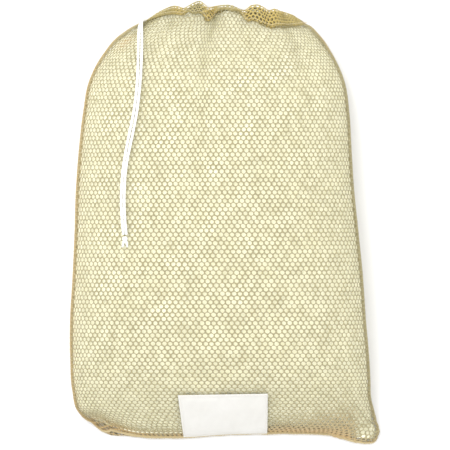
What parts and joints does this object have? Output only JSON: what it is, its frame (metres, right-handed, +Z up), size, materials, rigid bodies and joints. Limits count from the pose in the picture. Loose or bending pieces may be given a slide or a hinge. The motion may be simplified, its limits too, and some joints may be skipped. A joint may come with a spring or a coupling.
{
  "type": "mesh laundry bag",
  "caption": "Full net laundry bag lying flat, mouth gathered by a drawstring with a knotted end, plain white fabric patch at the bottom.",
  "frame": {"origin": "on the floor, below the middle of the bag's outline", "axes": "+X to the right across the bag, +Y from the bottom seam to the mouth, +Z up from the floor the bag lies on"},
  "size_m": [0.6196, 0.886, 0.1654],
  "materials": {
    "net": "knitted hexagonal net, straw-coloured yarn, matt",
    "hem_net": "the same net doubled and gathered, golden",
    "seam_thread": "overlocked yarn edge, matt",
    "thread": "sewing thread",
    "cord": "braided white cord",
    "patch": "plain woven white fabric",
    "linen": "soft white washing"
  },
  "bodies": {
    "bag": {"front_panel": "net", "back_panel": "net", "left_side_seam": "seam_thread", "right_side_seam": "seam_thread", "bottom_seam": "seam_thread", "back_hem_casing": "hem_net", "back_hem_stitching": "thread", "exit_bartack": "thread", "drawstring_back_run": "cord", "drawstring_corner_loop": "cord", "drawstring_left_strand": "cord", "drawstring_right_strand": "cord", "id_patch": "patch", "id_patch_stitching": "thread", "linen_load": "linen"},
    "mouth_front": {"front_hem_casing": "hem_net", "front_hem_stitching": "thread", "drawstring_front_run": "cord"},
    "cord_end": {"drawstring_knot": "cord", "drawstring_tails": "cord"}
  },
  "joints": [
    {"name": "mouth_gape", "type": "hinge", "parent": "bag", "child": "mouth_front", "pos_m": [0, 0.4015, 0.0435], "axis": [1, 0, 0], "range_deg": [0, 75]},
    {"name": "drawstring_slide", "type": "slide", "parent": "bag", "child": "cord_end", "axis": [-0.0624, 0.9977, -0.0249], "range_m": [0, 0.08], "deforming": ["drawstring_left_strand", "drawstring_right_strand"]}
  ],
  "couplings": [
    {"joint": "drawstring_slide", "follows": "mouth_gape", "m_per_rad": 0.0611}
  ]
}
